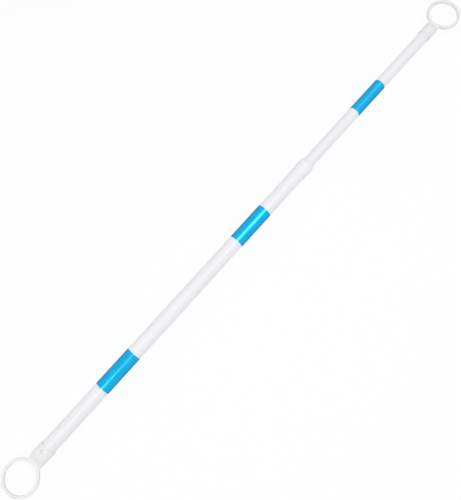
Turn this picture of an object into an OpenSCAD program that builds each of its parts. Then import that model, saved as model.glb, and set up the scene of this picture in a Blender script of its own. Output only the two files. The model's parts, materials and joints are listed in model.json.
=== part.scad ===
// Telescopic cone bar: a ring at each end drops over the tip of a traffic cone.
// Lengths in millimetres. X runs along the bar from the near ring to the far ring, and Z is up,
// along the axis of both rings. The origin is the centre of the near ring.

/* [Rings] */
// Inside diameter of each ring
ring_bore_d = 76; // [60:1:100]
// Width of a ring's band, from its inside to its outside
ring_band_w = 7.5; // [6.5:0.5:12]
// Height of a ring's band
ring_h = 10; // [8:0.5:14]
// Rounding of the band's corners
ring_corner_r = 2.5; // [1:0.25:3]

/* [Sockets] */
// Distance from a ring's outside to the seat of the tube's end
seat_gap = 22; // [12:0.5:28]
// Depth of a socket, from its mouth to that seat
socket_depth = 24; // [20:1:60]
// Wall of a socket
socket_wall = 2.1; // [1.6:0.1:3]
// Radius of the fillets where a ring flows into its neck
neck_fillet_r = 10; // [6:0.5:14]
// Height of the web that carries those fillets
web_h = 4; // [2:0.5:5]

/* [Outer tube] */
// Outside diameter of the outer tube
outer_od = 38.5; // [37.5:0.5:43]
// Wall of the outer tube
outer_wall = 1.3; // [1:0.1:1.7]
// Length of the outer tube
outer_len = 961; // [800:1:1300]

/* [Inner tube] */
// Outside diameter of the inner tube
inner_od = 31; // [28:0.5:32]
// Wall of the inner tube
inner_wall = 1.5; // [1:0.1:2]
// Length of the inner tube
inner_len = 949; // [700:1:1200]
// Length of the inner tube that shows between the collar and the far socket
show_len = 497; // [200:1:700]

/* [Mouth collar] */
// Length of the collar
collar_len = 41; // [36:0.5:60]
// Length of the outer tube that the collar covers
collar_cover = 28; // [22:0.5:32]
// Length of the flare behind the collar's widest place
flare_len = 20; // [10:0.5:22]
// Thickness of the collar's rear lip
collar_lip = 0.6; // [0.4:0.1:1.5]
// Thickness of the collar at its widest place
collar_wall = 1.9; // [1.6:0.1:4]
// Thickness of the lip round the nose's hole
nose_lip = 0.8; // [0.5:0.1:1.5]

/* [Reflective bands] */
// Length of each band
band_len = 110; // [60:1:160]
// Thickness of the tape
tape_t = 0.25; // [0.1:0.05:0.35]
// Bare tube between the near socket and the near band
near_bare = 180; // [60:1:260]
// Bare tube between the middle band and the collar
middle_bare = 134; // [60:1:260]
// Bare tube between the far band and the far socket
far_bare = 195; // [60:1:260]

/* [Twist lock] */
// Offset of the cam's journal from the bar's axis
cam_offset = 0.6; // [0.3:0.1:0.7]
// Diameter of the journal
journal_d = 26; // [18:0.5:28]
// Length of the journal
journal_len = 18; // [12:0.5:26]
// Thickness of the plug's flange
flange_t = 6; // [3:0.5:10]
// Length of the plug inside the inner tube
plug_len = 40; // [30:1:70]
// Wall of the hollow plug
plug_wall = 2.5; // [1.5:0.1:4]
// Width of the split in the brake ring
split_w = 4; // [1:0.5:8]
// Number of grooves round the brake ring
groove_count = 2; // [0:1:4]

/* [Stop sleeve] */
// Distance from the tail of the inner tube to the sleeve
stop_from_tail = 70; // [60:1:140]
// Length of the sleeve
stop_len = 20; // [12:0.5:40]
// Diameter of the two pegs that hold the sleeve
peg_d = 5; // [3:0.5:8]

/* [Screws and pin] */
// Thread diameter of the screws
screw_d = 4; // [3:0.1:5]
// Diameter of a screw's head
head_d = 8; // [6.5:0.1:10]
// Height of a screw's head
head_h = 2.4; // [1.6:0.1:3]
// Length of a socket's screw under its head
end_screw_len = 8; // [6:0.5:12]
// Length of the cam's screw under its head
cam_screw_len = 16; // [10:0.5:18]
// Diameter of the pin through the plug
pin_d = 4; // [2.5:0.1:6]
// Diameter of the cam's washer
washer_d = 32; // [30:0.5:33]
// Thickness of the cam's washer
washer_t = 1.5; // [0.8:0.1:3]

/* [Fits] */
// Room between a tube and the moulding that it is glued or screwed into, each side
slip_gap = 0.1; // [0.05:0.01:0.2]
// Running room of the brake ring and of a screw or pin in its hole, each side
run_gap = 0.05; // [0.02:0.01:0.1]
// Room of the flange and the stop sleeve in the outer tube, each side
guide_gap = 0.9; // [0.75:0.05:1.1]
// Room of the far band in the collar's nose, each side
nose_gap = 0.8; // [0.75:0.05:1.2]
// Thickness of the glue under the tape
glue_t = 0.05; // [0.02:0.01:0.1]

/* [Hidden] */

$fn = 96;
overrun = 1;

moulded_white = [0.95, 0.95, 0.965];
tube_white = [0.945, 0.945, 0.96];
tape_blue = [0.07, 0.62, 0.88];
nylon_grey = [0.32, 0.33, 0.35];
steel = [0.62, 0.63, 0.65];

// Ring and socket
ring_in_r = ring_bore_d / 2;
ring_out_r = ring_in_r + ring_band_w;
seat_x = ring_out_r + seat_gap;
mouth_x = seat_x + socket_depth;
corner_steps = 4;
face_inset = 0.5;
waist_inset = 1.6;
blend_bite = 0.15;
neck_sink = 1;
rise_x = ring_out_r - neck_sink;
round_x = seat_x + neck_sink;
flat_half_h = ring_h / 2 - face_inset;
flat_crown_share = 0.2;
neck_steps = 8;
neck_sides = 48;
mouth_chamfer = 1;
core_step = 2.5;
core_len = 7;
core_tip_share = 0.4;
function sleeve_r(tube_d) = tube_d / 2 + slip_gap + socket_wall;

// Places along the bar
outer_mouth_x = seat_x + outer_len;
collar_x = outer_mouth_x - collar_cover;
nose_x = collar_x + collar_len;
far_mouth_x = nose_x + show_len;
far_ring_x = far_mouth_x + mouth_x;
inner_end_x = far_ring_x - seat_x;
tail_x = inner_end_x - inner_len;
near_band_x = mouth_x + near_bare;
middle_band_x = collar_x - middle_bare - band_len;
far_band_x = far_mouth_x - far_bare - band_len;

// Radii of the tubes
outer_r = outer_od / 2;
outer_bore_r = outer_r - outer_wall;
inner_r = inner_od / 2;
inner_bore_r = inner_r - inner_wall;

// Collar
widest_x = collar_x + flare_len;
lip_r = outer_r + slip_gap + collar_lip;
widest_r = outer_r + slip_gap + collar_wall;
nose_bore_r = inner_r + glue_t + tape_t + nose_gap;
nose_r = nose_bore_r + nose_lip;
nose_axis = (nose_x - widest_x) / sqrt(1 - pow(nose_r / widest_r, 2));
collar_steps = 8;

// Twist lock
guide_r = outer_bore_r - guide_gap;
brake_r = outer_bore_r - run_gap;
journal_r = journal_d / 2;
flange_x = tail_x - flange_t;
cam_x = flange_x - journal_len;
end_play = 0.2;
brake_x = cam_x + end_play;
brake_len = journal_len - 2 * end_play;
groove_w = 1.6;
groove_depth = 0.8;
land_len = (brake_len - groove_count * groove_w) / (groove_count + 1);
plug_r = inner_bore_r - slip_gap;
plug_chamfer = 1;
pin_place_share = 0.5;
pin_x = tail_x + plug_len * pin_place_share;
pin_inset = 0.1;
washer_hole_gap = 0.3;

// Stop sleeve
stop_x = tail_x + stop_from_tail;
stop_chamfer = 0.6;
peg_place_share = 0.5;
peg_x = stop_x + stop_len * peg_place_share;
peg_r = peg_d / 2;

// Screws
screw_r = screw_d / 2;
head_r = head_d / 2;
screw_place_share = 0.54;
screw_x = seat_x + socket_depth * screw_place_share;
spot_depth = 0.8;
spot_gap = 0.3;
point_len = 2;
head_edge_share = 0.35;
crown_steps = 5;
recess_w = 1.3;
recess_len = 4.6;
recess_depth = 1.4;

// Tape
seam_w = 0.8;

// A solid of revolution about the bar's axis: each point is a radius and a place along the bar.
module turned(points) {
    rotate([0, 90, 0]) rotate_extrude() polygon(points);
}

// A straight tube or rod along the bar.
module rod(x, length, r) {
    translate([x, 0, 0]) rotate([0, 90, 0]) cylinder(r = r, h = length);
}

// The band of the ring itself, with rounded corners.
module ring_band() {
    outline = [
        for (corner = [0:3], i = [0:corner_steps])
            let (a = 90 * (corner + i / corner_steps))
            let (side_r = corner == 0 || corner == 3 ? 1 : -1)
            let (side_z = corner < 2 ? 1 : -1)
            [
                side_r * (ring_band_w / 2 - ring_corner_r) + ring_corner_r * cos(a),
                side_z * (ring_h / 2 - ring_corner_r) + ring_corner_r * sin(a)
            ]
    ];
    rotate_extrude() translate([ring_in_r + ring_band_w / 2, 0]) polygon(outline);
}

// A solid stretched over a row of cross-sections that have equally many points.
module skin(sections) {
    count = len(sections[0]);
    last = len(sections) - 1;
    sides = [
        for (i = [0:last - 1], j = [0:count - 1])
            let (a = i * count + j)
            let (b = i * count + (j + 1) % count)
            each [[a, b, b + count], [a, b + count, a + count]]
    ];
    start = [for (j = [0:count - 1]) count - 1 - j];
    end = [for (j = [0:count - 1]) last * count + j];
    polyhedron(points = [for (section = sections) each section], faces = concat(sides, [start, end]));
}

// One cross-section of the neck. A crown of 1 gives an ellipse, and a smaller one a flatter bar.
function neck_section(x, half_w, half_h, crown) = [
    for (j = [0:neck_sides - 1])
        let (a = -360 * j / neck_sides)
        [x, half_w * cos(a), half_h * sign(sin(a)) * pow(abs(sin(a)), crown)]
];

function eased(share) = share * share * (3 - 2 * share);

// The neck, which starts flat inside the ring's band and swells to the round socket.
module neck(r) {
    flat_w = r - waist_inset;
    round_r = r - blend_bite;
    start_x = (ring_in_r + sqrt(pow(ring_out_r, 2) - pow(flat_w, 2))) / 2;
    skin([
        neck_section(start_x, flat_w, flat_half_h, flat_crown_share),
        for (i = [0:neck_steps])
            let (swell = eased(i / neck_steps))
            neck_section(
                rise_x + (round_x - rise_x) * i / neck_steps,
                flat_w + (round_r - flat_w) * swell,
                flat_half_h + (round_r - flat_half_h) * swell,
                flat_crown_share + (1 - flat_crown_share) * swell
            ),
        neck_section(round_x + overrun, round_r, round_r, 1)
    ]);
}

// The flat web that fillets the corners between the ring and the sides of the neck.
module web(side_y) {
    centre_y = side_y + neck_fillet_r;
    reach = ring_out_r + neck_fillet_r - blend_bite;
    centre_x = sqrt(pow(reach, 2) - pow(centre_y, 2));
    difference() {
        linear_extrude(web_h, center = true) polygon([[0, 0], [centre_x, -centre_y], [centre_x, centre_y]]);
        cylinder(r = ring_in_r + ring_band_w / 2, h = web_h + overrun, center = true);
        for (side = [-1, 1]) {
            translate([centre_x, side * centre_y, 0]) {
                cylinder(r = neck_fillet_r, h = web_h + overrun, center = true);
            }
        }
    }
}

// The socket's sleeve, with a chamfered mouth.
module sleeve(r) {
    turned([
        [0, round_x],
        [r, round_x],
        [r, mouth_x - mouth_chamfer],
        [r - mouth_chamfer, mouth_x],
        [0, mouth_x]
    ]);
}

// One moulded ring end at the origin, with its socket along +X and its screw on top.
module ring_end(tube_d, tube_wall) {
    r = sleeve_r(tube_d);
    core_r = tube_d / 2 - tube_wall - core_step;
    difference() {
        union() {
            ring_band();
            web(r - waist_inset);
            neck(r);
            sleeve(r);
        }
        rod(seat_x, socket_depth + overrun, tube_d / 2 + slip_gap);
        turned([
            [0, seat_x - core_len],
            [core_r * core_tip_share, seat_x - core_len],
            [core_r, seat_x],
            [core_r, seat_x + overrun],
            [0, seat_x + overrun]
        ]);
        translate([screw_x, 0, 0]) cylinder(r = screw_r + run_gap, h = r + overrun);
        translate([screw_x, 0, r - spot_depth]) cylinder(r = head_r + spot_gap, h = spot_depth + overrun);
    }
}

// A pan-head screw that points down, with its head's seat at the origin.
module screw(length) {
    edge_h = head_h * head_edge_share;
    crown = [
        for (i = [0:crown_steps])
            let (a = 90 * i / crown_steps)
            [head_r * cos(a), edge_h + (head_h - edge_h) * sin(a)]
    ];
    difference() {
        rotate_extrude() {
            polygon(concat([[0, -length], [screw_r, point_len - length], [screw_r, 0], [head_r, 0]], crown));
        }
        for (turn = [0, 90]) {
            rotate([0, 0, turn]) {
                translate([-recess_len / 2, -recess_w / 2, head_h - recess_depth]) {
                    cube([recess_len, recess_w, recess_depth + overrun]);
                }
            }
        }
    }
}

// The screw of a ring end, in the place that the ring end has for it.
module end_screw(tube_d) {
    translate([screw_x, 0, sleeve_r(tube_d) - spot_depth]) screw(end_screw_len);
}

// Puts a ring end, or its screw, on the far end of the bar, upside down.
module at_far_end() {
    translate([far_ring_x, 0, 0]) rotate([0, 180, 0]) children();
}

// One wrap of tape, with its butt seam on the underside.
module tape(x, tube_d) {
    under_r = tube_d / 2 + glue_t;
    seam_angle = seam_w / under_r * 180 / PI;
    rotate([0, 90, 0]) {
        rotate([0, 0, seam_angle / 2]) {
            rotate_extrude(angle = 360 - seam_angle) translate([under_r, x]) square([tape_t, band_len]);
        }
    }
}

// The two pegs of the stop sleeve, or with room added, their holes in the tube.
module pegs(room) {
    translate([peg_x, 0, 0]) rotate([90, 0, 0]) cylinder(r = peg_r + room, h = 2 * guide_r, center = true);
}

module outer_tube() {
    color(tube_white) difference() {
        rod(seat_x, outer_len, outer_r);
        rod(seat_x - overrun, outer_len + 2 * overrun, outer_bore_r);
        translate([screw_x, 0, 0]) cylinder(r = screw_r + run_gap, h = outer_r + overrun);
    }
}

module near_ring_end() {
    color(moulded_white) ring_end(outer_od, outer_wall);
}

module near_end_screw() {
    color(steel) end_screw(outer_od);
}

module mouth_collar() {
    flare = [
        for (i = [0:collar_steps])
            let (s = i / collar_steps)
            [lip_r + (widest_r - lip_r) * (1 - cos(180 * s)) / 2, collar_x + flare_len * s]
    ];
    nose = [
        for (i = [1:collar_steps])
            let (x = (nose_x - widest_x) * i / collar_steps)
            [widest_r * sqrt(1 - pow(x / nose_axis, 2)), widest_x + x]
    ];
    bore = [
        [nose_bore_r, nose_x],
        [nose_bore_r, outer_mouth_x],
        [outer_r + slip_gap, outer_mouth_x],
        [outer_r + slip_gap, collar_x]
    ];
    color(moulded_white) turned(concat(flare, nose, bore));
}

module near_band() {
    color(tape_blue) tape(near_band_x, outer_od);
}

module middle_band() {
    color(tape_blue) tape(middle_band_x, outer_od);
}

module brake_ring() {
    lands = [
        for (i = [0:groove_count])
            let (x = brake_x + i * (land_len + groove_w))
            each [
                [brake_r - groove_depth, x],
                [brake_r, x],
                [brake_r, x + land_len],
                [brake_r - groove_depth, x + land_len]
            ]
    ];
    color(nylon_grey) difference() {
        turned(concat([[0, brake_x]], lands, [[0, brake_x + brake_len]]));
        translate([0, 0, cam_offset]) rod(brake_x - overrun, brake_len + 2 * overrun, journal_r + run_gap);
        translate([brake_x - overrun, -split_w / 2, 0]) {
            cube([brake_len + 2 * overrun, split_w, brake_r + overrun]);
        }
    }
}

module inner_tube() {
    color(tube_white) difference() {
        rod(tail_x, inner_len, inner_r);
        rod(tail_x - overrun, inner_len + 2 * overrun, inner_bore_r);
        pegs(slip_gap);
        translate([pin_x, 0, 0]) {
            rotate([90, 0, 0]) cylinder(r = pin_d / 2 + run_gap, h = inner_od + 2 * overrun, center = true);
        }
        at_far_end() translate([screw_x, 0, 0]) cylinder(r = screw_r + run_gap, h = inner_r + overrun);
    }
}

module stop_sleeve() {
    stop_end_x = stop_x + stop_len;
    inside_r = inner_r + slip_gap;
    color(nylon_grey) {
        difference() {
            union() {
                turned([
                    [inside_r, stop_x],
                    [guide_r - stop_chamfer, stop_x],
                    [guide_r, stop_x + stop_chamfer],
                    [guide_r, stop_end_x - stop_chamfer],
                    [guide_r - stop_chamfer, stop_end_x],
                    [inside_r, stop_end_x]
                ]);
                intersection() {
                    pegs(0);
                    rod(stop_x, stop_len, inside_r + (guide_r - inside_r) / 2);
                }
            }
            rod(stop_x - overrun, stop_len + 2 * overrun, inner_bore_r);
        }
    }
}

module cam_plug() {
    color(nylon_grey) difference() {
        union() {
            turned([
                [0, flange_x],
                [guide_r - plug_chamfer, flange_x],
                [guide_r, flange_x + plug_chamfer],
                [guide_r, tail_x],
                [plug_r, tail_x],
                [plug_r, tail_x + plug_len - plug_chamfer],
                [plug_r - plug_chamfer, tail_x + plug_len],
                [0, tail_x + plug_len]
            ]);
            translate([0, 0, cam_offset]) rod(cam_x, journal_len + flange_t / 2, journal_r);
        }
        rod(tail_x, plug_len + overrun, plug_r - plug_wall);
        translate([0, 0, cam_offset]) rod(cam_x - overrun, cam_screw_len + 2 * overrun, screw_r + run_gap);
        translate([pin_x, 0, 0]) {
            rotate([90, 0, 0]) cylinder(r = pin_d / 2 + run_gap, h = inner_od, center = true);
        }
    }
}

module plug_pin() {
    color(steel) translate([pin_x, 0, 0]) {
        rotate([90, 0, 0]) cylinder(r = pin_d / 2, h = inner_od - 2 * pin_inset, center = true);
    }
}

module cam_washer() {
    color(steel) translate([0, 0, cam_offset]) difference() {
        rod(cam_x - washer_t, washer_t, washer_d / 2);
        rod(cam_x - washer_t - overrun, washer_t + 2 * overrun, screw_r + washer_hole_gap);
    }
}

module cam_screw() {
    color(steel) translate([cam_x - washer_t, 0, cam_offset]) rotate([0, -90, 0]) screw(cam_screw_len);
}

module far_ring_end() {
    color(moulded_white) at_far_end() ring_end(inner_od, inner_wall);
}

module far_end_screw() {
    color(steel) at_far_end() end_screw(inner_od);
}

module far_band() {
    color(tape_blue) tape(far_band_x, inner_od);
}

outer_tube();
near_ring_end();
near_end_screw();
mouth_collar();
near_band();
middle_band();
brake_ring();
inner_tube();
stop_sleeve();
cam_plug();
plug_pin();
cam_washer();
cam_screw();
far_ring_end();
far_end_screw();
far_band();
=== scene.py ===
import json
import math

import bmesh
import bpy
from mathutils import Matrix, Vector


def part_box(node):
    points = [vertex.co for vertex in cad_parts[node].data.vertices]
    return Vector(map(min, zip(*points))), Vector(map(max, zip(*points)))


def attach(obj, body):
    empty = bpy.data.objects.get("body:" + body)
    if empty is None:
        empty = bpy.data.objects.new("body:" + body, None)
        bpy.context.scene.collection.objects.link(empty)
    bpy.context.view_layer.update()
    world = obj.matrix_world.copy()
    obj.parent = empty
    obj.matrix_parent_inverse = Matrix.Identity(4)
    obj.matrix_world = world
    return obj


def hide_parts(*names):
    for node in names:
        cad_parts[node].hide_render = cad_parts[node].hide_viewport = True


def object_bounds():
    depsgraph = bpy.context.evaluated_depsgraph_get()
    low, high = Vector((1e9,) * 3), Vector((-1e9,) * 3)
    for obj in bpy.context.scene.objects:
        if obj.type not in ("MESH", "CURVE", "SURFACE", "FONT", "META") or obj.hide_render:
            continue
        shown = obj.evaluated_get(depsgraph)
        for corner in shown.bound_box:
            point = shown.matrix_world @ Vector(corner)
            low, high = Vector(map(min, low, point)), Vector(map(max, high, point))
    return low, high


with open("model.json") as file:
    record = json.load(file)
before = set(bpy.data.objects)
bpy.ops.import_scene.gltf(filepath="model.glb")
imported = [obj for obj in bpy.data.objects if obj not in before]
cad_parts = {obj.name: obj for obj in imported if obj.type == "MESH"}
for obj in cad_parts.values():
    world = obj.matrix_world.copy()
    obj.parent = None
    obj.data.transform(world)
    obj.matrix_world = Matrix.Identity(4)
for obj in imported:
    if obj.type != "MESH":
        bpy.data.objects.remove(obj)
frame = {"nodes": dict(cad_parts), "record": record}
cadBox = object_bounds()
scene = bpy.context.scene
mounts = {mount["name"]: mount for mount in frame["record"]["mounts"]}
tiny = 1e-6  # points this close are one point
wallSlack = 5e-5  # a point this close to a round wall belongs to it
sharpAngle = math.radians(35)  # edges that turn more than this are shaded sharp
print("frame loaded with", len(frame["nodes"]), "nodes")

# the bar seen from above, turned so that it runs up to the right
viewpoint = {
    "place": (0.5090, -0.2635, 1.3529),
    "forward": (0.1588, 0.1862, -0.9696),
    "up": (0.7296, 0.6395, 0.2423),
    "lens": 39.6,
    "sensor": 36.0,
}


def makeCamera():
    data = bpy.data.cameras.new("photoCamera")
    data.sensor_width = viewpoint["sensor"]
    data.lens = viewpoint["lens"]
    camera = bpy.data.objects.new("photoCamera", data)
    scene.collection.objects.link(camera)
    forward = Vector(viewpoint["forward"]).normalized()
    right = forward.cross(Vector(viewpoint["up"])).normalized()
    up = right.cross(forward)
    turn = Matrix((right, up, -forward)).transposed().to_4x4()
    camera.matrix_world = Matrix.Translation(viewpoint["place"]) @ turn
    scene.camera = camera


makeCamera()
print("camera placed")


def newFinish(name):
    material = bpy.data.materials.new(name)
    material.use_nodes = True
    tree = material.node_tree
    return material, tree.nodes, tree.links, tree.nodes["Principled BSDF"]


def stretched(nodes, links, scale):  # object coordinates, with the pattern drawn out along an axis
    coordinates = nodes.new("ShaderNodeTexCoord")
    mapping = nodes.new("ShaderNodeMapping")
    mapping.inputs["Scale"].default_value = scale
    links.new(coordinates.outputs["Object"], mapping.inputs["Vector"])
    return mapping.outputs["Vector"]


def addNoise(nodes, links, scale, detail=3.0):
    noise = nodes.new("ShaderNodeTexNoise")
    noise.inputs["Scale"].default_value = 1.0
    noise.inputs["Detail"].default_value = detail
    links.new(stretched(nodes, links, scale), noise.inputs["Vector"])
    return noise.outputs["Fac"]


def remap(nodes, links, value, low, high, fromLow=0.3, fromHigh=0.7):  # noise lies mostly in 0.3 to 0.7
    node = nodes.new("ShaderNodeMapRange")
    node.inputs["From Min"].default_value = fromLow
    node.inputs["From Max"].default_value = fromHigh
    node.inputs["To Min"].default_value = low
    node.inputs["To Max"].default_value = high
    links.new(value, node.inputs["Value"])
    return node.outputs["Result"]


def mixColours(nodes, links, share, first, second):
    node = nodes.new("ShaderNodeMix")
    node.data_type = "RGBA"
    links.new(share, node.inputs["Factor"])
    for socket, colour in (("A", first), ("B", second)):
        plug = [i for i in node.inputs if i.name == socket and i.type == "RGBA"][0]
        if isinstance(colour, tuple):
            plug.default_value = (*colour, 1.0)
        else:
            links.new(colour, plug)
    return [o for o in node.outputs if o.type == "RGBA"][0]


def combine(nodes, links, operation, first, second):
    node = nodes.new("ShaderNodeMath")
    node.operation = operation
    for index, value in enumerate((first, second)):
        if isinstance(value, (int, float)):
            node.inputs[index].default_value = value
        else:
            links.new(value, node.inputs[index])
    return node.outputs["Value"]


def addBump(nodes, links, shader, height, distance, strength):
    bump = nodes.new("ShaderNodeBump")
    bump.inputs["Distance"].default_value = distance
    bump.inputs["Strength"].default_value = strength
    links.new(height, bump.inputs["Height"])
    links.new(bump.outputs["Normal"], shader.inputs["Normal"])


tubeFinish = {
    "colour": (0.865, 0.862, 0.905),
    "shade": (0.835, 0.832, 0.875),
    "shadeRange": (0.12, 0.42),
    "cloud": (6.0, 30.0, 30.0),
    "gloss": (0.32, 0.40),
    "drawLines": (1.5, 900.0, 900.0),
    "lineDepth": 0.00002,
    "lineStrength": 0.35,
    "rub": (0.80, 0.80, 0.835),
    "rubMarks": (22.0, 160.0, 160.0),
    "rubDetail": 5.0,
    "rubRange": (0.66, 0.74),
    "rubShare": 0.5,
}


def makeTubeFinish():  # satin white tube, drawn lengthwise through its die
    material, nodes, links, shader = newFinish("drawnWhite")
    lines = addNoise(nodes, links, tubeFinish["drawLines"])
    cloud = addNoise(nodes, links, tubeFinish["cloud"])
    marks = addNoise(nodes, links, tubeFinish["rubMarks"], tubeFinish["rubDetail"])
    shade = combine(nodes, links, "MULTIPLY", cloud, lines)
    bright = remap(nodes, links, shade, 0.0, 1.0, *tubeFinish["shadeRange"])
    clean = mixColours(nodes, links, bright, tubeFinish["shade"], tubeFinish["colour"])
    rubbed = remap(nodes, links, marks, 0.0, tubeFinish["rubShare"], *tubeFinish["rubRange"])
    colour = mixColours(nodes, links, rubbed, clean, tubeFinish["rub"])
    links.new(colour, shader.inputs["Base Color"])
    links.new(remap(nodes, links, lines, *tubeFinish["gloss"]), shader.inputs["Roughness"])
    addBump(nodes, links, shader, lines, tubeFinish["lineDepth"], tubeFinish["lineStrength"])
    return material


mouldedFinish = {
    "neutral": ((0.855, 0.855, 0.865), (0.82, 0.82, 0.83)),
    "cool": ((0.865, 0.862, 0.905), (0.835, 0.832, 0.875)),
    "gloss": (0.42, 0.54),
    "cloud": (35.0, 35.0, 35.0),
    "cloudDetail": 4.0,
    "grain": (1700.0, 1700.0, 1700.0),
    "grainDetail": 2.0,
    "grainShare": 0.4,
    "partingHalf": 0.00022,
    "bumpDepth": 0.00012,
    "bumpStrength": 0.5,
}


# fine eroded grain, and the line where the mould's halves met
def makeMouldedFinish(name, white, parted):
    material, nodes, links, shader = newFinish(name)
    cloud = addNoise(nodes, links, mouldedFinish["cloud"], mouldedFinish["cloudDetail"])
    grain = addNoise(nodes, links, mouldedFinish["grain"], mouldedFinish["grainDetail"])
    plain, shade = mouldedFinish[white]
    colour = mixColours(nodes, links, remap(nodes, links, cloud, 0.0, 1.0), shade, plain)
    links.new(colour, shader.inputs["Base Color"])
    links.new(remap(nodes, links, cloud, *mouldedFinish["gloss"]), shader.inputs["Roughness"])
    height = combine(nodes, links, "MULTIPLY", grain, mouldedFinish["grainShare"])
    if parted:
        split = nodes.new("ShaderNodeSeparateXYZ")
        links.new(stretched(nodes, links, (1, 1, 1)), split.inputs["Vector"])
        away = combine(nodes, links, "ABSOLUTE", split.outputs["Z"], 0.0)
        line = remap(nodes, links, away, 1.0, 0.0, 0.0, mouldedFinish["partingHalf"])
        height = combine(nodes, links, "ADD", height, line)
    addBump(nodes, links, shader, height, mouldedFinish["bumpDepth"], mouldedFinish["bumpStrength"])
    return material


filmFinish = {
    "colour": (0.002, 0.45, 0.81),
    "deep": (0.001, 0.37, 0.72),
    "metal": 0.9,
    "gloss": (0.20, 0.30),
    "spread": 0.6,
    "veil": 0.0,
    "edgeTint": (0.0, 0.0, 0.0, 1.0),
    "beads": 2600.0,
    "beadRange": (0.1, 0.7),
    "beadShare": 0.5,
    "beadDepth": 0.00002,
    "beadStrength": 0.15,
    "cloud": (25.0, 60.0, 60.0),
    "cloudShare": 0.5,
    "coat": 0.09,
    "coatBend": 2.5,
    "coatGloss": 0.20,
}


def makeFilmFinish():  # blue film over glass beads, under a clear top layer
    material, nodes, links, shader = newFinish("reflectiveBlue")
    beads = nodes.new("ShaderNodeTexVoronoi")
    beads.inputs["Scale"].default_value = filmFinish["beads"]
    links.new(stretched(nodes, links, (1, 1, 1)), beads.inputs["Vector"])
    bead = remap(nodes, links, beads.outputs["Distance"], 0.0, 1.0, *filmFinish["beadRange"])
    beaded = combine(nodes, links, "MULTIPLY", bead, filmFinish["beadShare"])
    cloud = addNoise(nodes, links, filmFinish["cloud"])
    clouded = remap(nodes, links, cloud, 0.0, filmFinish["cloudShare"])
    share = combine(nodes, links, "ADD", beaded, clouded)
    colour = mixColours(nodes, links, share, filmFinish["colour"], filmFinish["deep"])
    links.new(colour, shader.inputs["Base Color"])
    links.new(remap(nodes, links, bead, *filmFinish["gloss"], 0.0, 1.0), shader.inputs["Roughness"])
    shader.inputs["Metallic"].default_value = filmFinish["metal"]
    shader.inputs["Coat Weight"].default_value = filmFinish["coat"]
    shader.inputs["Coat Roughness"].default_value = filmFinish["coatGloss"]
    shader.inputs["Coat IOR"].default_value = filmFinish["coatBend"]
    # the film darkens towards its edges, with no pale veil over it
    shader.inputs["Specular IOR Level"].default_value = filmFinish["veil"]
    shader.inputs["Specular Tint"].default_value = filmFinish["edgeTint"]
    # its gloss spreads out round the tube
    around = nodes.new("ShaderNodeTangent")
    around.direction_type = "RADIAL"
    around.axis = "X"
    links.new(around.outputs["Tangent"], shader.inputs["Tangent"])
    shader.inputs["Anisotropic"].default_value = filmFinish["spread"]
    addBump(nodes, links, shader, bead, filmFinish["beadDepth"], filmFinish["beadStrength"])
    return material


steelFinish = {
    "colour": (0.76, 0.765, 0.78),
    "dull": (0.62, 0.625, 0.64),
    "gloss": (0.26, 0.42),
    "crystals": (900.0, 900.0, 900.0),
    "crystalDetail": 4.0,
    "bumpDepth": 0.00002,
    "bumpStrength": 0.3,
}


def makeSteelFinish():  # zinc-plated steel
    material, nodes, links, shader = newFinish("zincSteel")
    crystals = addNoise(nodes, links, steelFinish["crystals"], steelFinish["crystalDetail"])
    bright = remap(nodes, links, crystals, 0.0, 1.0)
    colour = mixColours(nodes, links, bright, steelFinish["dull"], steelFinish["colour"])
    links.new(colour, shader.inputs["Base Color"])
    links.new(remap(nodes, links, crystals, *steelFinish["gloss"]), shader.inputs["Roughness"])
    shader.inputs["Metallic"].default_value = 1.0
    addBump(nodes, links, shader, crystals, steelFinish["bumpDepth"], steelFinish["bumpStrength"])
    return material


nylonFinish = {
    "colour": (0.10, 0.105, 0.115),
    "worn": (0.15, 0.155, 0.165),
    "gloss": (0.50, 0.65),
    "grain": (1400.0, 1400.0, 1400.0),
    "bumpDepth": 0.00008,
    "bumpStrength": 0.4,
}


def makeNylonFinish():  # matt grey nylon of the lock
    material, nodes, links, shader = newFinish("lockNylon")
    grain = addNoise(nodes, links, nylonFinish["grain"])
    rubbed = remap(nodes, links, grain, 0.0, 1.0)
    colour = mixColours(nodes, links, rubbed, nylonFinish["colour"], nylonFinish["worn"])
    links.new(colour, shader.inputs["Base Color"])
    links.new(remap(nodes, links, grain, *nylonFinish["gloss"]), shader.inputs["Roughness"])
    addBump(nodes, links, shader, grain, nylonFinish["bumpDepth"], nylonFinish["bumpStrength"])
    return material


finishes = {
    "tube": makeTubeFinish(),
    "ringEnd": makeMouldedFinish("mouldedWhite", "neutral", True),
    "collar": makeMouldedFinish("collarWhite", "cool", False),
    "film": makeFilmFinish(),
    "steel": makeSteelFinish(),
    "nylon": makeNylonFinish(),
}
print("finishes made:", ", ".join(finishes))


def addPiece(name, bm, finish):
    bmesh.ops.remove_doubles(bm, verts=bm.verts, dist=tiny)
    bmesh.ops.recalc_face_normals(bm, faces=bm.faces)
    mesh = bpy.data.meshes.new(name)
    bm.to_mesh(mesh)
    bm.free()
    piece = bpy.data.objects.new(name, mesh)
    scene.collection.objects.link(piece)
    mesh.materials.append(finishes[finish])
    shadeSmooth(piece)
    return piece


def shadeSmooth(piece):
    for face in piece.data.polygons:
        face.use_smooth = True
    piece.data.set_sharp_from_angle(angle=sharpAngle)


def standFor(piece, node, body):
    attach(piece, body)
    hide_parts(node)


def middleX(node):
    low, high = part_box(node)
    return (low.x + high.x) / 2


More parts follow.
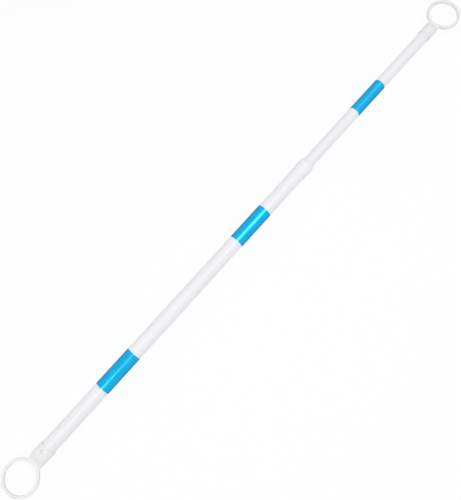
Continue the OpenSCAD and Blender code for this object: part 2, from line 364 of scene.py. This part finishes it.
def cutAway(piece, cutter):
    cut = piece.modifiers.new("cut", "BOOLEAN")
    cut.operation = "DIFFERENCE"
    cut.solver = "EXACT"
    cut.object = cutter
    bpy.context.view_layer.update()
    whole = piece.evaluated_get(bpy.context.evaluated_depsgraph_get())
    mesh = bpy.data.meshes.new_from_object(whole)
    bm = bmesh.new()
    bm.from_mesh(mesh)
    bmesh.ops.remove_doubles(bm, verts=bm.verts, dist=tiny)
    bmesh.ops.dissolve_degenerate(bm, edges=bm.edges, dist=tiny)
    bm.to_mesh(mesh)
    bm.free()
    piece.modifiers.clear()
    piece.data = mesh
    bpy.data.objects.remove(cutter)
    shadeSmooth(piece)


def roundOff(piece, radius, centre, reach):  # the rim of a cut takes the normals of the round wall
    mesh = piece.data
    normals = [corner.vector.copy() for corner in mesh.corner_normals]
    for face in mesh.polygons:
        spots = [mesh.vertices[index].co for index in face.vertices]
        if all(abs(spot.yz.length - radius) < wallSlack for spot in spots):
            for corner, spot in zip(face.loop_indices, spots):
                if abs(spot.x - centre) < reach - tiny:
                    normals[corner] = Vector((0, spot.y, spot.z)).normalized()
    mesh.normals_split_custom_set(normals)


def drawProfile(bm, points, closed, rounds=()):  # points are (along, out) in the XZ plane
    verts = [bm.verts.new((along, 0.0, out)) for along, out in points]
    for pair in zip(verts, verts[1:]):
        bm.edges.new(pair)
    if closed:
        bm.edges.new((verts[-1], verts[0]))
    for index, radius, steps in rounds:
        bmesh.ops.bevel(bm, geom=[verts[index]], offset=radius, offset_type="OFFSET", segments=steps,
                        profile=0.5, affect="VERTICES", material=-1)


# a wall's section, with stops that keep its ends and holes out of the long faces
def drawWall(bm, low, high, inside, outside, stops, rounds):
    within = [(along, inside) for along in (low, *stops, high)]
    without = [(along, outside) for along, _ in reversed(within)]
    last = len(within) - 1
    ends = {"lowInside": 0, "highInside": last, "highOutside": last + 1, "lowOutside": 2 * last + 1}
    corners = [(ends[end], radius, steps) for end, radius, steps in rounds]
    drawProfile(bm, within + without, True, corners)


def turnProfile(bm, axis, steps, angle=math.tau):
    full = abs(angle - math.tau) < tiny
    bmesh.ops.spin(bm, geom=bm.verts[:] + bm.edges[:], cent=(0, 0, 0), axis=axis, dvec=(0, 0, 0),
                   angle=angle, steps=steps, use_merge=full)


# each hole: the piece that sits in it, its radius, and its turns from the top in degrees
outerTube = {
    "wall": 0.0013,
    "holes": [("near_end_screw", 0.00205, (0,))],
}
innerTube = {
    "wall": 0.0015,
    "holes": [
        ("far_end_screw", 0.00205, (180,)),
        ("plug_pin", 0.00205, (90, -90)),
        ("stop_sleeve", 0.0026, (90, -90)),
    ],
}
anyTube = {
    "edgeRound": 0.0004,
    "edgeSteps": 3,
    "endGuard": 0.0008,
    "holeGuard": 0.004,
    "holeSteps": 32,
    "drillReach": 1.5,
    "steps": 128,
}


def drillHole(tube, along, radius, degrees, reach):  # from the axis out through one wall
    bm = bmesh.new()
    bmesh.ops.create_cone(bm, cap_ends=True, segments=anyTube["holeSteps"],
                          radius1=radius, radius2=radius, depth=reach)
    turn = Matrix.Rotation(math.radians(degrees), 3, "X")
    bmesh.ops.translate(bm, verts=bm.verts, vec=(0, 0, reach / 2))
    bmesh.ops.rotate(bm, verts=bm.verts, cent=(0, 0, 0), matrix=turn)
    bmesh.ops.translate(bm, verts=bm.verts, vec=(along, 0, 0))
    cutAway(tube, addPiece("drill", bm, "tube"))


def makeTube(name, node, body, size):
    low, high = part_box(node)
    bore = high.z - size["wall"]
    spots = [(middleX(held), radius, turns) for held, radius, turns in size["holes"]]
    stops = [low.x + anyTube["endGuard"], high.x - anyTube["endGuard"]]
    for along, _, _ in spots:
        stops += [along - anyTube["holeGuard"], along + anyTube["holeGuard"]]
    ends = ("lowInside", "highInside", "highOutside", "lowOutside")
    rounds = [(end, anyTube["edgeRound"], anyTube["edgeSteps"]) for end in ends]
    bm = bmesh.new()
    drawWall(bm, low.x, high.x, bore, high.z, sorted(stops), rounds)
    turnProfile(bm, (1, 0, 0), anyTube["steps"])
    tube = addPiece(name, bm, "tube")
    for along, radius, turns in spots:
        for degrees in turns:
            drillHole(tube, along, radius, degrees, high.z * anyTube["drillReach"])
    standFor(tube, node, body)


makeTube("outerTube", "outer_tube", "outer", outerTube)
makeTube("innerTube", "inner_tube", "inner", innerTube)
print("tubes made")

tape = {
    "thickness": 0.00025,
    "seam": 0.0008,
    "edgeRound": 0.00008,
    "edgeSteps": 2,
    "endGuard": 0.0003,
    "steps": 128,
}


def makeBand(name, node, body):
    low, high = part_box(node)
    under = high.z - tape["thickness"]
    seamTurn = tape["seam"] / under
    stops = [low.x + tape["endGuard"], high.x - tape["endGuard"]]
    rounds = [(end, tape["edgeRound"], tape["edgeSteps"]) for end in ("highOutside", "lowOutside")]
    bm = bmesh.new()
    drawWall(bm, low.x, high.x, under, high.z, stops, rounds)
    halfTurn = Matrix.Rotation(math.pi + seamTurn / 2, 4, "X")  # the seam is underneath
    bmesh.ops.transform(bm, matrix=halfTurn, verts=bm.verts)
    turnProfile(bm, (1, 0, 0), tape["steps"], math.tau - seamTurn)
    bmesh.ops.holes_fill(bm, edges=[edge for edge in bm.edges if edge.is_boundary])
    band = addPiece(name, bm, "film")
    standFor(band, node, body)


makeBand("nearBand", "near_band", "outer")
makeBand("middleBand", "middle_band", "outer")
makeBand("farBand", "far_band", "inner")
print("bands wrapped")

collar = {
    "flare": 0.020,
    "cover": 0.028,
    "rearLip": 0.0006,
    "slip": 0.0001,
    "noseGap": 0.0008,
    "noseLip": 0.0008,
    "curveSteps": 14,
    "edgeRound": 0.0002,
    "edgeSteps": 3,
    "steps": 128,
}


def makeCollar():
    low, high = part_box("mouth_collar")
    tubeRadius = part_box("outer_tube")[1].z + collar["slip"]
    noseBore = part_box("far_band")[1].z + collar["noseGap"]
    noseRadius = noseBore + collar["noseLip"]
    lipRadius = tubeRadius + collar["rearLip"]
    widestX = low.x + collar["flare"]
    noseLength = high.x - widestX
    noseAxis = noseLength / math.sqrt(1 - (noseRadius / high.z) ** 2)
    count = collar["curveSteps"]
    points = []
    for i in range(count + 1):  # the flare swells from the rear lip
        swell = (1 - math.cos(math.pi * i / count)) / 2
        points.append((low.x + collar["flare"] * i / count, lipRadius + (high.z - lipRadius) * swell))
    for i in range(1, count + 1):  # the nose is part of an ellipse
        along = noseLength * i / count
        points.append((widestX + along, high.z * math.sqrt(1 - (along / noseAxis) ** 2)))
    seat = low.x + collar["cover"]
    points += [(high.x, noseBore), (seat, noseBore), (seat, tubeRadius), (low.x, tubeRadius)]
    edges = (0, 2 * count, 2 * count + 1, len(points) - 1)  # both rims of the lip and of the nose
    rounds = [(index, collar["edgeRound"], collar["edgeSteps"]) for index in edges]
    bm = bmesh.new()
    drawProfile(bm, points, True, rounds)
    turnProfile(bm, (1, 0, 0), collar["steps"])
    standFor(addPiece("mouthCollar", bm, "collar"), "mouth_collar", "outer")


makeCollar()
print("collar turned")

ringEnd = {
    "bandWidth": 0.0075,
    "bandHeight": 0.010,
    "bandCorner": 0.0025,
    "cornerSteps": 6,
    "frontSteps": 36,
    "backSteps": 120,
    "filletRadius": 0.010,
    "faceInset": 0.0005,
    "waistInset": 0.0016,
    "sink": 0.001,
    "crown": 0.2,  # 1 is a round neck, and less is squarer
    "flowBend": 0.35,
    "flowSteps": 5,
    "riseSteps": 12,
    "smoothRounds": 3,
    "smoothFactor": 0.5,
    "seatGap": 0.022,
    "slip": 0.0001,
    "mouthRound": 0.0009,
    "mouthSteps": 3,
    "mouthGuard": 0.00144,
    "boreLip": 0.0003,
    "coreStep": 0.004,
    "coreLength": 0.007,
    "coreTip": 0.4,
    "screwRoom": 0.00205,
    "spotRadius": 0.0043,
    "spotDepth": 0.0008,
    "spotMargin": 0.0020,
    "drillReach": 1.5,
    "drillSteps": 64,
}


def ringEndForm(node, tubeNode):  # the sizes that follow from the frame and the values above
    low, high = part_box(node)
    bore = mounts["near_ring"]["dims"]["r_mm"] / 1000
    rim = bore + ringEnd["bandWidth"]
    flat = rim - ringEnd["bandCorner"]
    halfHeight = ringEnd["bandHeight"] / 2
    sleeve = (high.z - low.z) / 2
    waist = sleeve - ringEnd["waistInset"]
    frontTurn = math.asin((waist + ringEnd["filletRadius"]) / (rim + ringEnd["filletRadius"]))
    seatX = rim + ringEnd["seatGap"]
    return {
        "bore": bore,
        "rim": rim,
        "flat": flat,
        "halfHeight": halfHeight,
        "cornerTurn": math.acos(flat / rim),
        "frontTurn": frontTurn,
        "openWidth": rim * math.sin(frontTurn),
        "waist": waist,
        "waistHeight": halfHeight - ringEnd["faceInset"],
        "sleeve": sleeve,
        "tube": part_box(tubeNode)[1].z,
        "riseX": rim - ringEnd["sink"],
        "seatX": seatX,
        "roundX": seatX + ringEnd["sink"],
        "mouthX": high.x - low.x - rim,
        "spotReach": ringEnd["spotRadius"] + ringEnd["spotMargin"],
    }


def eased(share):
    return share * share * (3 - 2 * share)


def neckPoint(turn, x, halfWidth, halfHeight, crown):
    rise = math.sin(turn)
    return Vector((x, halfWidth * math.cos(turn), math.copysign(halfHeight * abs(rise) ** crown, rise)))


def growLoop(bm, loop, place):
    grown = bmesh.ops.extrude_edge_only(bm, edges=loop)["geom"]
    verts = [part for part in grown if isinstance(part, bmesh.types.BMVert)]
    for vert in verts:
        vert.co = place(vert)
    edges = [part for part in grown if isinstance(part, bmesh.types.BMEdge) and part.is_boundary]
    return verts, edges


# the ring's rounded section goes right round, but is left open where the neck grows out of it
def turnRing(bm, form):
    bore, rim, halfHeight = form["bore"], form["rim"], form["halfHeight"]
    corners = [(bore, -halfHeight), (rim, -halfHeight), (rim, halfHeight), (bore, halfHeight)]
    rounds = [(index, ringEnd["bandCorner"], ringEnd["cornerSteps"]) for index in range(len(corners))]
    drawProfile(bm, corners, True, rounds)
    turn = Matrix.Rotation(form["frontTurn"], 3, "Z")
    bmesh.ops.rotate(bm, verts=bm.verts, cent=(0, 0, 0), matrix=turn)
    section = bm.verts[:] + bm.edges[:]
    front = bmesh.ops.duplicate(bm, geom=section)["geom"]
    outside = [part for part in front if isinstance(part, bmesh.types.BMVert)
               and part.co.xy.length > form["flat"] + tiny]
    bmesh.ops.delete(bm, geom=outside, context="VERTS")
    front = [part for part in front if part.is_valid]
    bmesh.ops.spin(bm, geom=section, cent=(0, 0, 0), axis=(0, 0, 1), dvec=(0, 0, 0),
                   angle=2 * (math.pi - form["frontTurn"]), steps=ringEnd["backSteps"])
    bmesh.ops.spin(bm, geom=front, cent=(0, 0, 0), axis=(0, 0, 1), dvec=(0, 0, 0),
                   angle=-2 * form["frontTurn"], steps=ringEnd["frontSteps"])
    bmesh.ops.remove_doubles(bm, verts=bm.verts, dist=tiny)
    return [edge for edge in bm.edges if edge.is_boundary]


def markOpening(loop, form, start, around):  # each point of the opening keeps its place round the neck
    for vert in {vert for edge in loop for vert in edge.verts}:
        if vert.co.xy.length > form["flat"] + tiny:
            turn = form["cornerTurn"] * vert.co.z / form["halfHeight"]
            turn = turn if vert.co.y > 0 else math.pi - turn
        else:
            turn = math.copysign(math.acos(vert.co.y / form["openWidth"]), vert.co.z)
        vert[around] = turn
        vert[start] = vert.co


def growNeck(bm, loop, form, start, around):  # out of the ring to a flat waist, then up to the round sleeve
    crown = ringEnd["crown"]

    def flow(share):
        def place(vert):
            begin = Vector(vert[start])
            end = neckPoint(vert[around], form["riseX"], form["waist"], form["waistHeight"], crown)
            bend = Vector((begin.x + (end.x - begin.x) * ringEnd["flowBend"], end.y, end.z))
            return begin * (1 - share) ** 2 + bend * 2 * share * (1 - share) + end * share ** 2
        return place

    def swell(share):
        grown = eased(share)
        x = form["riseX"] + (form["roundX"] - form["riseX"]) * share
        width = form["waist"] + (form["sleeve"] - form["waist"]) * grown
        height = form["waistHeight"] + (form["sleeve"] - form["waistHeight"]) * grown
        rounder = crown + (1 - crown) * grown
        return lambda vert: neckPoint(vert[around], x, width, height, rounder)

    places = [flow(i / ringEnd["flowSteps"]) for i in range(1, ringEnd["flowSteps"] + 1)]
    places += [swell(i / ringEnd["riseSteps"]) for i in range(1, ringEnd["riseSteps"] + 1)]
    neck = []
    for place in places:
        verts, loop = growLoop(bm, loop, place)
        neck += verts
    inner = neck[:-len(verts)]  # the last loop stays round
    for _ in range(ringEnd["smoothRounds"]):
        bmesh.ops.smooth_vert(bm, verts=inner, factor=ringEnd["smoothFactor"],
                              use_axis_x=True, use_axis_y=True, use_axis_z=True)
    return loop


def growSleeve(bm, loop, form, around, holeX):  # sleeve, mouth, bore, seat and core
    sleeve, mouthX, seatX = form["sleeve"], form["mouthX"], form["seatX"]
    bore = form["tube"] + ringEnd["slip"]
    core = form["tube"] - ringEnd["coreStep"]
    edge, lip = ringEnd["mouthRound"], ringEnd["boreLip"]
    rings = [(holeX - form["spotReach"], sleeve), (holeX + form["spotReach"], sleeve)]
    rings.append((mouthX - ringEnd["mouthGuard"], sleeve))
    for i in range(ringEnd["mouthSteps"] + 1):
        turn = math.pi / 2 * i / ringEnd["mouthSteps"]
        rings.append((mouthX - edge + edge * math.sin(turn), sleeve - edge + edge * math.cos(turn)))
    rings += [(mouthX, bore + lip), (mouthX - lip, bore), (seatX, bore), (seatX, core)]
    rings.append((seatX - ringEnd["coreLength"], core * ringEnd["coreTip"]))
    for x, radius in rings:
        _, loop = growLoop(bm, loop, lambda vert: neckPoint(vert[around], x, radius, radius, 1))
    bmesh.ops.edgeloop_fill(bm, edges=loop)


def drillScrewHole(piece, form, holeX):  # with a flat seat for the screw's head
    room, seat = ringEnd["screwRoom"], ringEnd["spotRadius"]
    spot = form["sleeve"] - ringEnd["spotDepth"]
    top = form["sleeve"] * ringEnd["drillReach"]
    bm = bmesh.new()
    drawProfile(bm, [(0, 0), (room, 0), (room, spot), (seat, spot), (seat, top), (0, top)], False)
    turnProfile(bm, (0, 0, 1), ringEnd["drillSteps"])
    bmesh.ops.translate(bm, verts=bm.verts, vec=(holeX, 0, 0))
    cutAway(piece, addPiece("drill", bm, "ringEnd"))


def makeRingEnd(name, node, body, tubeNode, turned):
    form = ringEndForm(node, tubeNode)
    farRing = mounts["far_ring"]["pos_m"]
    screwX = middleX(node.replace("ring_end", "end_screw"))
    holeX = farRing[0] - screwX if turned else screwX
    bm = bmesh.new()
    start = bm.verts.layers.float_vector.new("start")
    around = bm.verts.layers.float.new("around")
    loop = turnRing(bm, form)
    markOpening(loop, form, start, around)
    loop = growNeck(bm, loop, form, start, around)
    growSleeve(bm, loop, form, around, holeX)
    piece = addPiece(name, bm, "ringEnd")
    drillScrewHole(piece, form, holeX)
    if turned:  # the far end faces back, with its screw underneath
        piece.data.transform(Matrix.Translation(farRing) @ Matrix.Rotation(math.pi, 4, "Y"))
    roundOff(piece, form["sleeve"], screwX, form["spotReach"])
    standFor(piece, node, body)


makeRingEnd("nearRingEnd", "near_ring_end", "outer", "outer_tube", False)
makeRingEnd("farRingEnd", "far_ring_end", "inner", "inner_tube", True)
print("ring ends moulded")

screw = {
    "headHeight": 0.0024,
    "crownRound": 0.0015,
    "crownSteps": 8,
    "rimRound": 0.0002,
    "rimSteps": 3,
    "coreRadius": 0.0015,
    "pointLength": 0.002,
    "threadPitch": 0.0014,
    "threadHalf": 0.00045,
    "threadRise": 0.0006,
    "threadSink": 0.95,
    "threadSteps": 24,
    "wingLength": 0.0046,
    "wingWidth": 0.0011,
    "wingTaper": 0.5184,
    "coneFootShare": 0.084,
    "coneTopShare": 0.476,
    "coneSteps": 24,
    "recessDepth": 0.0014,
    "steps": 64,
}


# two crossed wings and a cone, narrower at the bottom, which stand half above the head
def cutRecess(piece, top):
    length, depth = screw["wingLength"], screw["recessDepth"] * 2
    for turn in (0, math.pi / 2):
        bm = bmesh.new()
        bmesh.ops.create_cube(bm, size=1)
        bmesh.ops.scale(bm, vec=(length, screw["wingWidth"], depth), verts=bm.verts)
        foot = [vert for vert in bm.verts if vert.co.z < 0]
        bmesh.ops.scale(bm, vec=(screw["wingTaper"], screw["wingTaper"], 1), verts=foot)
        bmesh.ops.rotate(bm, verts=bm.verts, cent=(0, 0, 0), matrix=Matrix.Rotation(turn, 3, "Z"))
        bmesh.ops.translate(bm, verts=bm.verts, vec=(0, 0, top))
        cutAway(piece, addPiece("wing", bm, "steel"))
    bm = bmesh.new()
    bmesh.ops.create_cone(bm, cap_ends=True, segments=screw["coneSteps"], depth=depth,
                          radius1=length * screw["coneFootShare"], radius2=length * screw["coneTopShare"],
                          matrix=Matrix.Translation((0, 0, top)))
    cutAway(piece, addPiece("cone", bm, "steel"))


def windThread(piece, length):  # round the core, from the point up to the head
    core, pitch, half = screw["coreRadius"], screw["threadPitch"], screw["threadHalf"]
    low = screw["pointLength"] - length
    turns = int((length - screw["pointLength"]) / pitch)
    sunk, crest = core * screw["threadSink"], core + screw["threadRise"]
    bm = bmesh.new()
    bm.from_mesh(piece.data)
    ridge = [bm.verts.new((out, 0, low + up)) for out, up in ((sunk, -half), (crest, 0), (sunk, half))]
    edges = [bm.edges.new(pair) for pair in zip(ridge, ridge[1:] + ridge[:1])]
    bmesh.ops.spin(bm, geom=ridge + edges, cent=(0, 0, 0), axis=(0, 0, 1),
                   dvec=(0, 0, pitch / screw["threadSteps"]),
                   angle=math.tau * turns, steps=screw["threadSteps"] * turns)
    bmesh.ops.holes_fill(bm, edges=[edge for edge in bm.edges if edge.is_boundary])
    bmesh.ops.recalc_face_normals(bm, faces=bm.faces)
    bm.to_mesh(piece.data)
    bm.free()


def makeScrew(name, node, body, length, headRadius, placed):
    top, core = screw["headHeight"], screw["coreRadius"]
    corners = [(0, -length), (core, screw["pointLength"] - length), (core, 0), (headRadius, 0),
               (headRadius, top), (0, top)]
    rim, crown = corners.index((headRadius, 0)), corners.index((headRadius, top))
    rounds = [(rim, screw["rimRound"], screw["rimSteps"])]
    rounds.append((crown, screw["crownRound"], screw["crownSteps"]))
    bm = bmesh.new()
    drawProfile(bm, corners, False, rounds)
    turnProfile(bm, (0, 0, 1), screw["steps"])
    piece = addPiece(name, bm, "steel")
    cutRecess(piece, top)
    windThread(piece, length)
    piece.data.transform(placed)
    shadeSmooth(piece)
    standFor(piece, node, body)


def placeScrew(name, node, body, facing):
    low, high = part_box(node)
    middle = (low + high) / 2
    head = screw["headHeight"]
    seats = {
        "up": ((middle.x, middle.y, high.z - head), 0),
        "down": ((middle.x, middle.y, low.z + head), math.pi),
        "tail": ((low.x + head, middle.y, middle.z), -math.pi / 2),
    }
    spot, turn = seats[facing]
    placed = Matrix.Translation(spot) @ Matrix.Rotation(turn, 4, "Y")
    reach = high - low
    makeScrew(name, node, body, max(reach) - head, reach.y / 2, placed)


placeScrew("nearEndScrew", "near_end_screw", "outer", "up")
placeScrew("farEndScrew", "far_end_screw", "inner", "down")
placeScrew("camScrew", "cam_screw", "inner", "tail")
print("screws driven")

lockSteel = {
    "washerHole": 0.0023,
    "washerRound": 0.0003,
    "washerSteps": 3,
    "pinChamfer": 0.0005,
    "steps": 96,
}


def makeWasher():
    low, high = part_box("cam_washer")
    hole, rim = lockSteel["washerHole"], (high.y - low.y) / 2
    corners = [(low.x, hole), (high.x, hole), (high.x, rim), (low.x, rim)]
    rounds = [(index, lockSteel["washerRound"], lockSteel["washerSteps"]) for index in range(len(corners))]
    bm = bmesh.new()
    drawProfile(bm, corners, True, rounds)
    turnProfile(bm, (1, 0, 0), lockSteel["steps"])
    bmesh.ops.translate(bm, verts=bm.verts, vec=(0, 0, (low.z + high.z) / 2))
    standFor(addPiece("camWasher", bm, "steel"), "cam_washer", "inner")


def makePin():
    low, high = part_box("plug_pin")
    half, radius = (high.y - low.y) / 2, (high.z - low.z) / 2
    corners = [(-half, 0), (-half, radius), (half, radius), (half, 0)]
    bm = bmesh.new()
    drawProfile(bm, corners, False, [(index, lockSteel["pinChamfer"], 1) for index in (1, 2)])
    turnProfile(bm, (1, 0, 0), lockSteel["steps"])
    bmesh.ops.rotate(bm, verts=bm.verts, cent=(0, 0, 0), matrix=Matrix.Rotation(math.pi / 2, 3, "Z"))
    bmesh.ops.translate(bm, verts=bm.verts, vec=(low + high) / 2)
    standFor(addPiece("plugPin", bm, "steel"), "plug_pin", "inner")


makeWasher()
makePin()
for node in ("brake_ring", "stop_sleeve", "cam_plug"):  # these keep their CAD shapes
    frame["nodes"][node].data.materials.clear()
    frame["nodes"][node].data.materials.append(finishes["nylon"])
print("inner pieces finished")

studio = {
    "floorDrop": 0.0205,  # room for a ring that is twisted out of level
    "floorSize": 8.0,
    "floorColour": (0.88, 0.88, 0.88, 1.0),
    "whiteShare": 0.9,
    "horizon": 0.52,
    "zenith": 0.70,
}

lamps = {
    "key": {"place": (-0.38, -0.33, 1.96), "aim": (0.15, 0, 0), "size": (0.5, 0.16), "radiance": 26.0},
    "strip": {"place": (0.2, -0.36, 1.96), "aim": (0.2, 0, 0), "size": (0.7, 0.4), "radiance": 1.6},
    "core": {"place": (1.25, -0.40, 1.96), "aim": (1.0, 0, 0), "size": (0.28, 0.24), "radiance": 42.0},
    "left": {"place": (-1.6, 1.3, 1.1), "aim": (0.4, 0, 0), "size": (1.3, 1.3), "radiance": 1.2},
    "far": {"place": (2.8, -0.3, 1.9), "aim": (1.5, 0, 0), "size": (1.2, 1.2), "radiance": 0.8},
}


def seenShare(nodes, links):  # 1 for the rays that show the background itself
    path = nodes.new("ShaderNodeLightPath")
    share = path.outputs["Is Camera Ray"]
    for ray in ("Is Glossy Ray", "Is Transmission Ray"):
        share = combine(nodes, links, "MAXIMUM", share, path.outputs[ray])
    return share


def makeFloor():
    bm = bmesh.new()
    bmesh.ops.create_grid(bm, x_segments=1, y_segments=1, size=studio["floorSize"])
    bmesh.ops.translate(bm, verts=bm.verts, vec=(0, 0, cadBox[0][2] - studio["floorDrop"]))
    mesh = bpy.data.meshes.new("floor")
    bm.to_mesh(mesh)
    bm.free()
    floor = bpy.data.objects.new("floor", mesh)
    scene.collection.objects.link(floor)
    material = bpy.data.materials.new("paleFloor")
    material.use_nodes = True
    nodes, links = material.node_tree.nodes, material.node_tree.links
    nodes.clear()
    output = nodes.new("ShaderNodeOutputMaterial")
    lit = nodes.new("ShaderNodeBsdfDiffuse")
    lit.inputs["Color"].default_value = studio["floorColour"]
    white = nodes.new("ShaderNodeEmission")
    mix = nodes.new("ShaderNodeMixShader")
    share = combine(nodes, links, "MULTIPLY", seenShare(nodes, links), studio["whiteShare"])
    links.new(share, mix.inputs["Fac"])
    links.new(lit.outputs["BSDF"], mix.inputs[1])
    links.new(white.outputs["Emission"], mix.inputs[2])
    links.new(mix.outputs["Shader"], output.inputs["Surface"])
    mesh.materials.append(material)


def makeSky():
    world = bpy.data.worlds.new("studio")
    scene.world = world
    world.use_nodes = True
    nodes, links = world.node_tree.nodes, world.node_tree.links
    background = nodes["Background"]
    background.inputs["Color"].default_value = (1, 1, 1, 1)
    direction = nodes.new("ShaderNodeTexCoord")
    split = nodes.new("ShaderNodeSeparateXYZ")
    links.new(direction.outputs["Generated"], split.inputs["Vector"])
    lit = remap(nodes, links, split.outputs["Z"], studio["horizon"], studio["zenith"], 0.0, 1.0)
    strength = combine(nodes, links, "MAXIMUM", lit, seenShare(nodes, links))
    links.new(strength, background.inputs["Strength"])


def makeLamp(name, lamp):
    data = bpy.data.lights.new(name, "AREA")
    data.shape = "RECTANGLE"
    data.size, data.size_y = lamp["size"]
    data.energy = lamp["radiance"] * math.pi * data.size * data.size_y
    light = bpy.data.objects.new(name, data)
    scene.collection.objects.link(light)
    down = (Vector(lamp["aim"]) - Vector(lamp["place"])).normalized()
    side = Vector((0, 1, 0)).cross(-down).normalized()  # the lamp's first side runs along the bar
    turn = Matrix((side, (-down).cross(side), -down)).transposed().to_4x4()
    light.matrix_world = Matrix.Translation(lamp["place"]) @ turn


makeFloor()
makeSky()
for name, lamp in lamps.items():
    makeLamp(name, lamp)
print("studio lit")

scene.view_settings.view_transform = "Standard"
